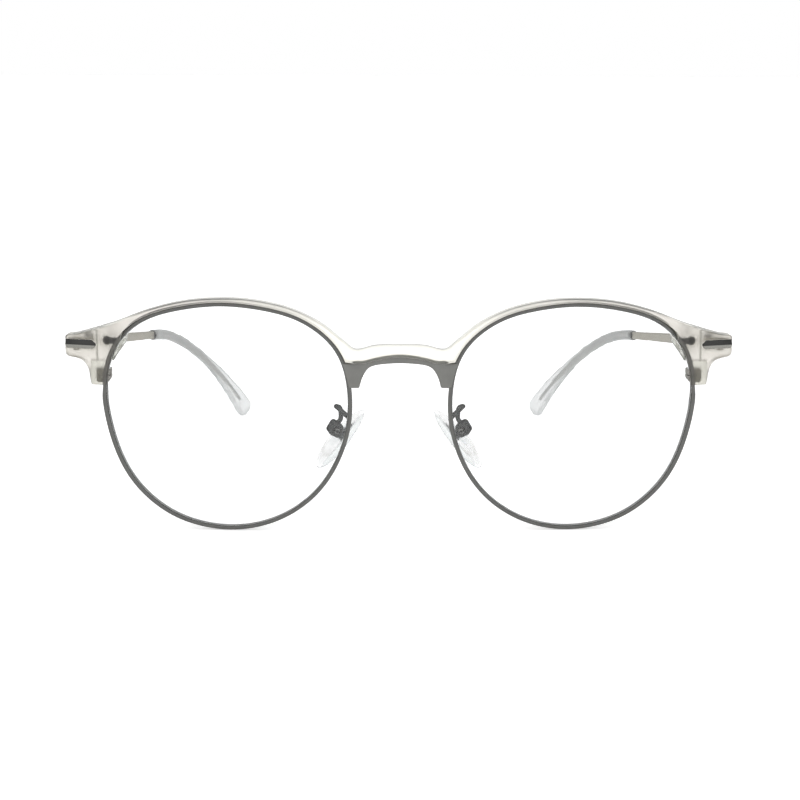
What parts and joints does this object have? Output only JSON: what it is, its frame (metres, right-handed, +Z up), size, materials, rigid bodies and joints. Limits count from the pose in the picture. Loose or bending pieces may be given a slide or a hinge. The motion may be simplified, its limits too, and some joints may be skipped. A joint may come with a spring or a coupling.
{
  "type": "round eyeglasses",
  "caption": "Round eyeglasses with wire rims under a frosted clear brow bar, metal bridge, folding slim metal temples with clear ends, and rocking nose pads.",
  "frame": {"origin": "on the table, midway across and from front to back, under the open glasses as they stand on both rims and both temple ends", "axes": "+X towards the wearer's left, +Y from the lenses to the temple ends, +Z up"},
  "size_m": [0.1376, 0.1415, 0.0484],
  "materials": {
    "frosted_crystal": "tumbled satin, translucent cellulose plastic",
    "gunmetal": "gunmetal plated nickel alloy wire, satin",
    "grey_steel": "plain satin steel",
    "dark_steel": "dark plated steel",
    "screw_steel": "turned stainless steel",
    "hinge_steel": "stamped nickel silver",
    "temple_steel": "drawn stainless steel, satin",
    "trim_metal": "black plated faceted trim",
    "collar_black": "black lacquer",
    "clear_lens": "polished clear resin lens",
    "clear_tip": "polished clear cellulose plastic",
    "stem_plastic": "clear stiff plastic insert",
    "silicone": "clear silicone, soft gloss"
  },
  "bodies": {
    "front": {"brow_bar": "frosted_crystal", "bridge": "gunmetal", "left_rim": "gunmetal", "right_rim": "gunmetal", "left_lens": "clear_lens", "right_lens": "clear_lens", "left_rim_lock_upper": "grey_steel", "right_rim_lock_upper": "grey_steel", "left_rim_lock_lower": "grey_steel", "right_rim_lock_lower": "grey_steel", "left_rim_lock_screw": "screw_steel", "right_rim_lock_screw": "screw_steel", "left_brow_lug": "dark_steel", "right_brow_lug": "dark_steel", "left_brow_screw": "dark_steel", "right_brow_screw": "dark_steel", "left_trim": "trim_metal", "right_trim": "trim_metal", "left_hinge_front_leaf": "hinge_steel", "right_hinge_front_leaf": "hinge_steel", "left_hinge_screw": "screw_steel", "right_hinge_screw": "screw_steel", "left_pad_arm": "dark_steel", "right_pad_arm": "dark_steel", "left_pad_box": "dark_steel", "right_pad_box": "dark_steel", "left_pad_screw": "screw_steel", "right_pad_screw": "screw_steel"},
    "left_temple": {"left_hinge_temple_leaf": "hinge_steel", "left_temple_bar": "temple_steel", "left_temple_collar": "collar_black", "left_temple_tip": "clear_tip"},
    "left_pad": {"left_pad_stem": "stem_plastic", "left_nose_pad": "silicone"},
    "right_temple": {"right_hinge_temple_leaf": "hinge_steel", "right_temple_bar": "temple_steel", "right_temple_collar": "collar_black", "right_temple_tip": "clear_tip"},
    "right_pad": {"right_pad_stem": "stem_plastic", "right_nose_pad": "silicone"}
  },
  "joints": [
    {"name": "left_temple_fold", "type": "hinge", "parent": "front", "child": "left_temple", "pos_m": [0.0636, -0.05817, 0.03815], "axis": [0, 0, 1], "range_deg": [0, 80]},
    {"name": "right_temple_fold", "type": "hinge", "parent": "front", "child": "right_temple", "pos_m": [-0.0636, -0.05817, 0.03815], "axis": [0, 0, -1], "range_deg": [0, 74]},
    {"name": "left_pad_rock", "type": "hinge", "parent": "front", "child": "left_pad", "pos_m": [0.01352, -0.06148, 0.02091], "axis": [0.3237, 0.9063, 0.2717], "range_deg": [-10, 10]},
    {"name": "right_pad_rock", "type": "hinge", "parent": "front", "child": "right_pad", "pos_m": [-0.01352, -0.06148, 0.02091], "axis": [-0.3237, 0.9063, 0.2717], "range_deg": [-10, 10]}
  ]
}
